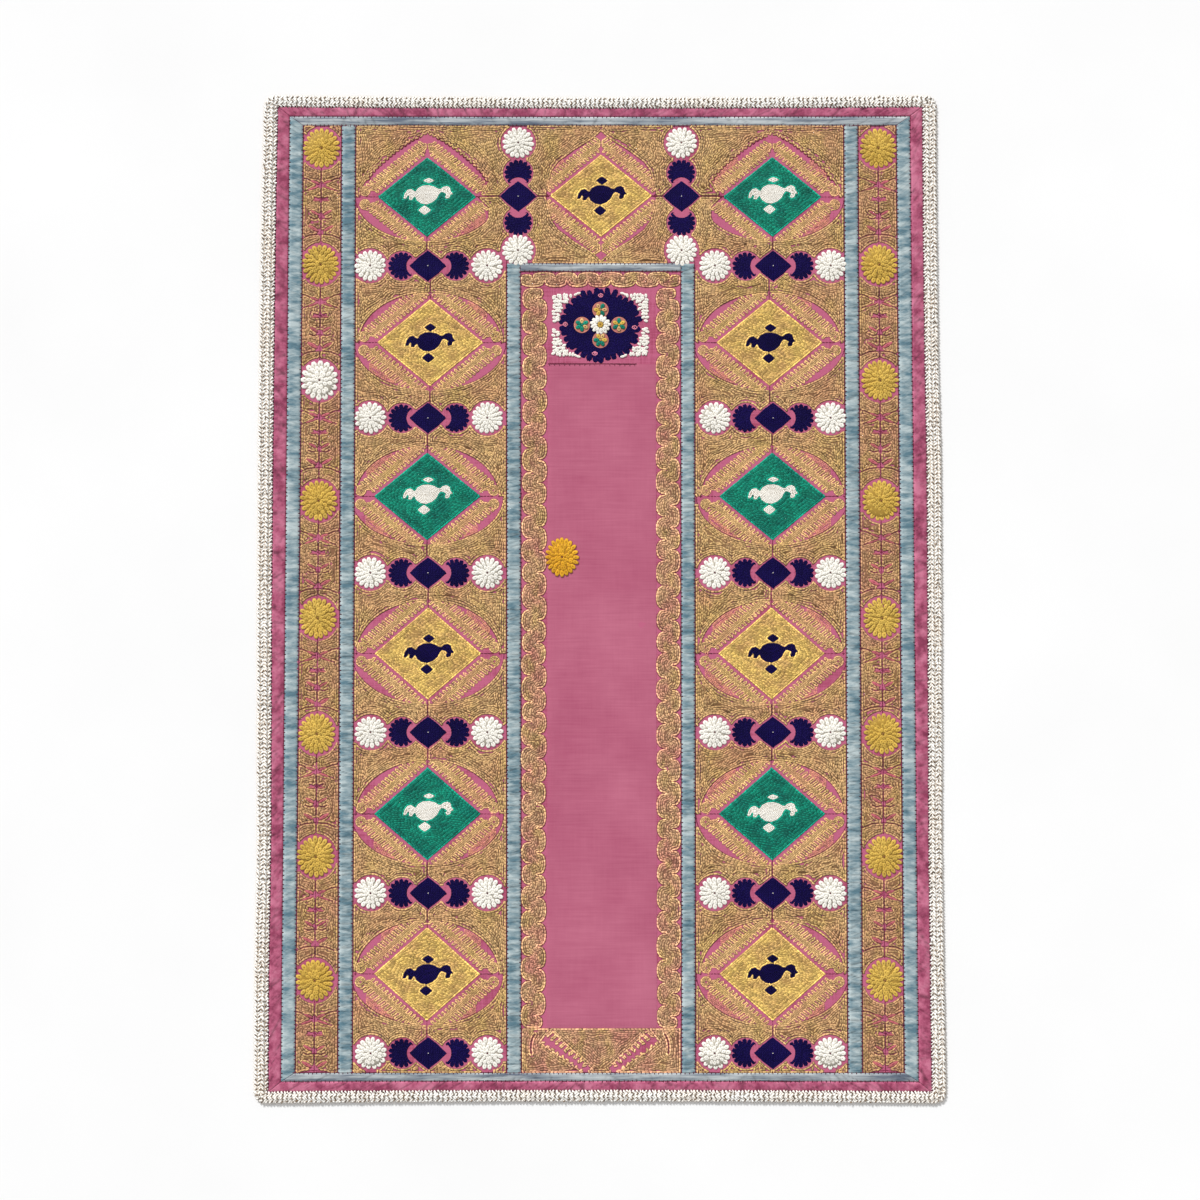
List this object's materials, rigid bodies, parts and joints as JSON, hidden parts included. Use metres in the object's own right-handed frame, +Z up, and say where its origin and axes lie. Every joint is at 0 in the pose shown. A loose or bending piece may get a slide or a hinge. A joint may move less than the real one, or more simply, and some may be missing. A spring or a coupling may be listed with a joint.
{
  "type": "suzani embroidered textile",
  "caption": "Rectangular embroidered prayer cloth with ribbon-framed panels round a plain niche and a plaited braid along its edge, lying flat with its face up.",
  "frame": {"origin": "middle of the underside, on the surface that the cloth lies on", "axes": "+Z up out of the embroidered face, +Y towards the head of the niche, +X to the right of someone facing the embroidery with the head at the top"},
  "size_m": [1.087, 1.5996, 0.0047],
  "materials": {
    "rose_cotton": "dense ochre chain stitch and couching on pink plain-weave cotton, matte",
    "plain_rose_cotton": "plain-weave cotton, matte, a little faded",
    "deep_rose_silk": "silky plain weave, soft sheen, puckered",
    "grey_blue_ribbon": "ribbon with crosswise gathers, soft sheen",
    "ivory_braid": "plaited cotton, matte"
  },
  "bodies": {
    "root": {"ground_cloth": "rose_cotton", "centre_field_panel": "plain_rose_cotton", "border_strip_top": "deep_rose_silk", "border_strip_bottom": "deep_rose_silk", "border_strip_left": "deep_rose_silk", "border_strip_right": "deep_rose_silk", "outer_tape_top": "grey_blue_ribbon", "outer_tape_bottom": "grey_blue_ribbon", "outer_tape_left": "grey_blue_ribbon", "outer_tape_right": "grey_blue_ribbon", "inner_tape_left": "grey_blue_ribbon", "inner_tape_right": "grey_blue_ribbon", "niche_tape_left": "grey_blue_ribbon", "niche_tape_right": "grey_blue_ribbon", "niche_tape_head": "grey_blue_ribbon", "edge_braid": "ivory_braid"}
  },
  "joints": []
}
